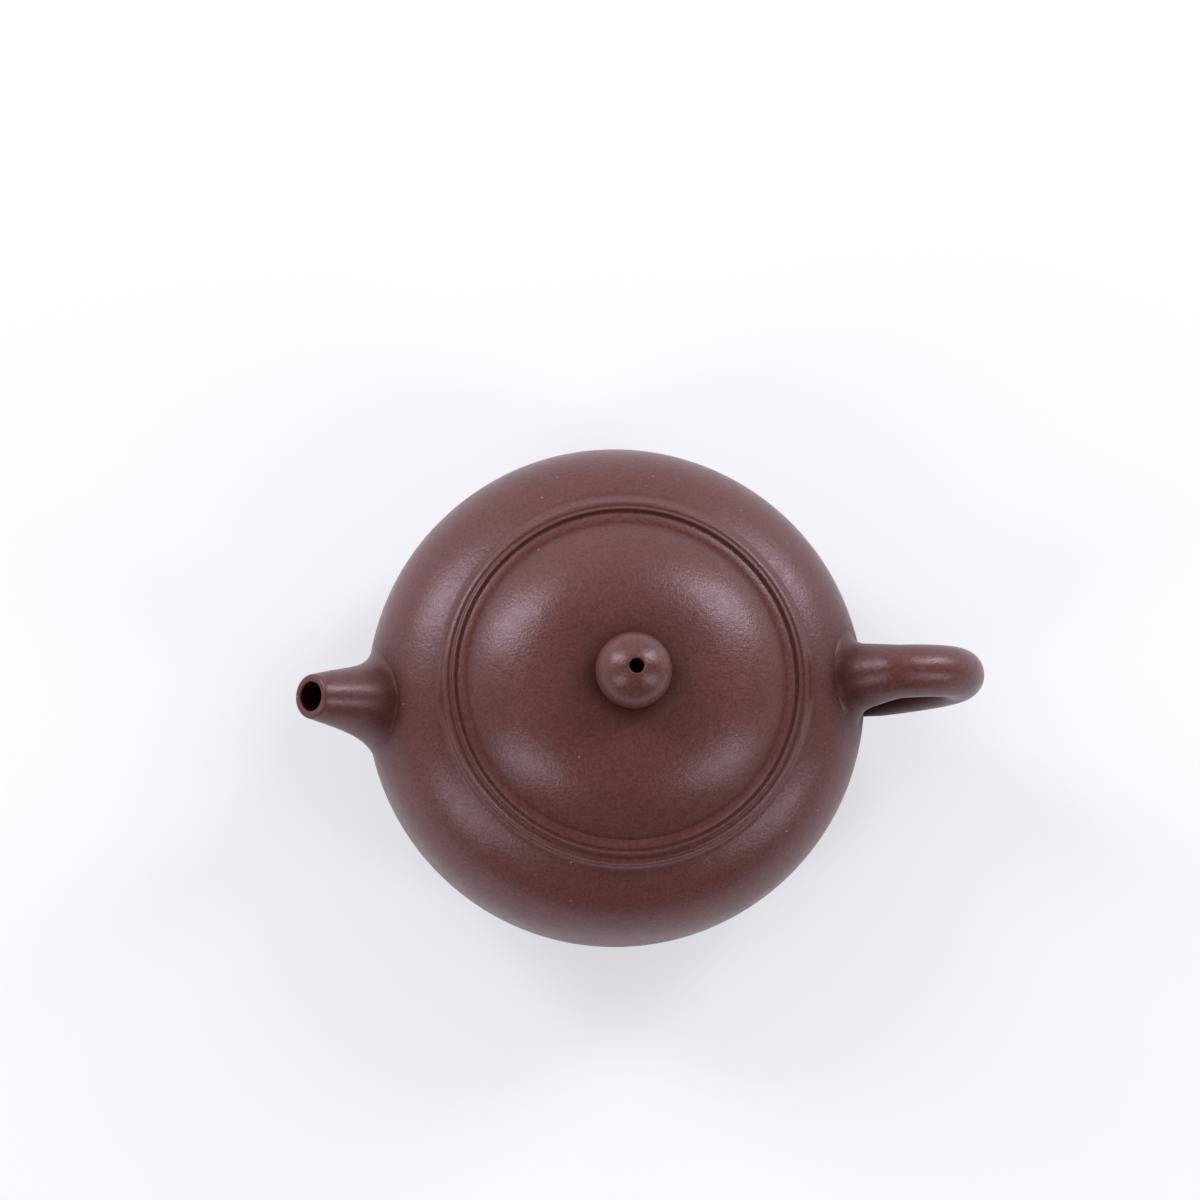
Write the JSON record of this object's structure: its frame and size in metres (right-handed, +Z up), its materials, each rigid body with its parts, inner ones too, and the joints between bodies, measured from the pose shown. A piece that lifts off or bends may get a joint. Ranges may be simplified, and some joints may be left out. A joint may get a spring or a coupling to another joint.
{
  "type": "teapot",
  "caption": "Round unglazed clay teapot with a short straight spout, a looped side handle, a foot ring and a lift-off domed lid with a ball knob.",
  "frame": {"origin": "on the surface the pot stands on, under the middle of its outline", "axes": "+X towards the handle, the spout points to -X, +Z up along the pot's axis"},
  "size_m": [0.1204, 0.0876, 0.0646],
  "materials": {
    "clay": "bare purple-brown stoneware clay, burnished to a soft satin",
    "clay_unburnished": "the same bare clay, left matt from the tool"
  },
  "bodies": {
    "pot": {"foot_ring": "clay_unburnished", "base_disc": "clay", "body_wall": "clay", "shoulder_disc": "clay", "mouth_ring": "clay", "spout": "clay", "strainer": "clay_unburnished", "handle": "clay"},
    "lid": {"lid_plate": "clay", "lid_flange": "clay_unburnished", "lid_dome": "clay", "knob": "clay"}
  },
  "joints": [
    {"name": "lid_lift", "type": "slide", "parent": "pot", "child": "lid", "axis": [0, 0, 1], "range_m": [0, 0.05]}
  ]
}
